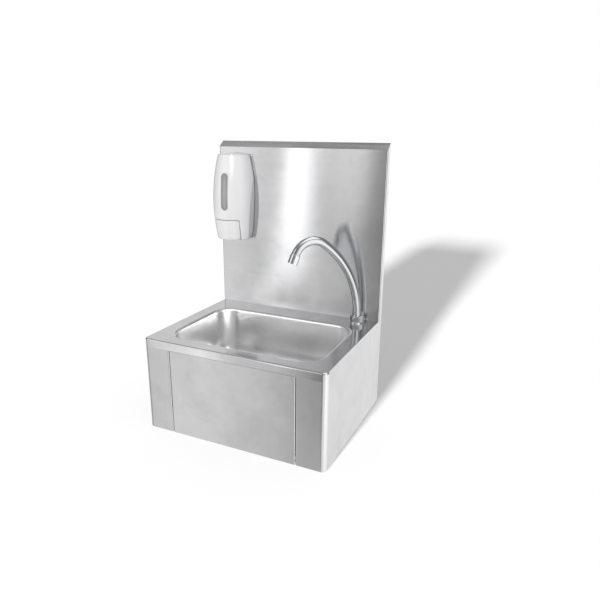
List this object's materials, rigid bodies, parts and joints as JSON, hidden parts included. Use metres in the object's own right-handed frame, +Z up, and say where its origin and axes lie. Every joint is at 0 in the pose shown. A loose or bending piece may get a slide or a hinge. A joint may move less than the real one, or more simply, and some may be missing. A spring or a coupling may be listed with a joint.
{
  "type": "wall-hung hand wash sink",
  "caption": "Wall-hung stainless steel hand wash sink with a knee-operated front panel, a tall backsplash, a swivel spout and a soap dispenser.",
  "frame": {"origin": "centre of the four lower wall fixings, on the wall plane", "axes": "+X across to the right seen from the front, +Y into the wall, +Z up"},
  "size_m": [0.4081, 0.32, 0.578],
  "materials": {
    "stainless_sheet": "brushed",
    "plain_steel": "satin",
    "chrome_plate": "polished",
    "brass_casting": "satin",
    "waste_steel": "polished",
    "spring_steel": "satin",
    "steel_braid": "woven",
    "black_rubber": "matte",
    "pale_nylon": "matte",
    "white_shell": "gloss",
    "white_plate": "matte",
    "soap_bottle": "gloss",
    "dark_plastic": "matte",
    "smoke_window": "gloss"
  },
  "bodies": {
    "sink": {"deck": "stainless_sheet", "bowl": "stainless_sheet", "left_casing": "stainless_sheet", "right_casing": "stainless_sheet", "rear_rail": "plain_steel", "backsplash": "stainless_sheet", "hook_rail": "plain_steel", "wall_rail": "plain_steel", "hinge_rod": "plain_steel", "rod_clips": "spring_steel", "valve_rail": "plain_steel", "valve_body": "brass_casting", "valve_cap": "brass_casting", "valve_nut": "brass_casting", "gland_bush": "pale_nylon", "plunger_spring": "spring_steel", "mixing_tee": "brass_casting", "hot_check_valve": "chrome_plate", "cold_check_valve": "chrome_plate", "outlet_hose": "steel_braid", "hose_nuts": "chrome_plate", "spout_shank": "brass_casting", "shank_seal": "black_rubber", "shank_washer": "plain_steel", "shank_nut": "brass_casting", "base_ring": "chrome_plate", "swivel_nut": "chrome_plate", "strainer": "waste_steel", "strainer_screw": "waste_steel", "upper_waste_seal": "black_rubber", "lower_waste_seal": "black_rubber", "waste_body": "waste_steel", "dispenser_back": "white_plate", "dispenser_screws": "plain_steel", "soap_bottle": "soap_bottle", "bottle_cap": "dark_plastic", "pump_body": "white_plate", "soap_nozzle": "dark_plastic", "cover_pins": "plain_steel"},
    "knee_panel": {"knee_panel": "stainless_sheet", "striker_pad": "black_rubber", "panel_buffers": "black_rubber"},
    "plunger": {"valve_plunger": "waste_steel", "disc_seal": "black_rubber"},
    "spout": {"spout_tube": "chrome_plate", "spout_o_rings": "black_rubber", "aerator_shell": "chrome_plate", "aerator_insert": "pale_nylon"},
    "dispenser_cover": {"dispenser_cover": "white_shell", "dispenser_window": "smoke_window"},
    "dispenser_button": {"dispenser_button": "white_shell"},
    "pump_piston": {"pump_piston": "dark_plastic"}
  },
  "joints": [
    {"name": "knee_press", "type": "hinge", "parent": "sink", "child": "knee_panel", "pos_m": [0, -0.308, 0.0356], "axis": [1, 0, 0], "range_deg": [0, 6], "stiffness_Nm_per_rad": 10, "springref_deg": -2.86},
    {"name": "plunger_slide", "type": "slide", "parent": "sink", "child": "plunger", "axis": [0, 1, 0], "range_m": [0, 0.0147], "deforming": ["plunger_spring"]},
    {"name": "spout_swivel", "type": "hinge", "parent": "sink", "child": "spout", "pos_m": [0.1545, -0.039, 0.063], "axis": [0, 0, 1], "range_deg": [-45, 45]},
    {"name": "cover_swing", "type": "hinge", "parent": "sink", "child": "dispenser_cover", "pos_m": [-0.1585, -0.0265, 0.2325], "axis": [1, 0, 0], "range_deg": [0, 80]},
    {"name": "button_press", "type": "hinge", "parent": "dispenser_cover", "child": "dispenser_button", "pos_m": [-0.1585, -0.05, 0.263], "axis": [1, 0, 0], "range_deg": [0, 8], "stiffness_Nm_per_rad": 2, "springref_deg": -2.86},
    {"name": "piston_slide", "type": "slide", "parent": "sink", "child": "pump_piston", "axis": [0, 1, 0], "range_m": [0, 0.00345]}
  ],
  "couplings": [
    {"joint": "plunger_slide", "follows": "knee_press", "m_per_rad": 0.14},
    {"joint": "piston_slide", "follows": "button_press", "m_per_rad": 0.0245}
  ]
}
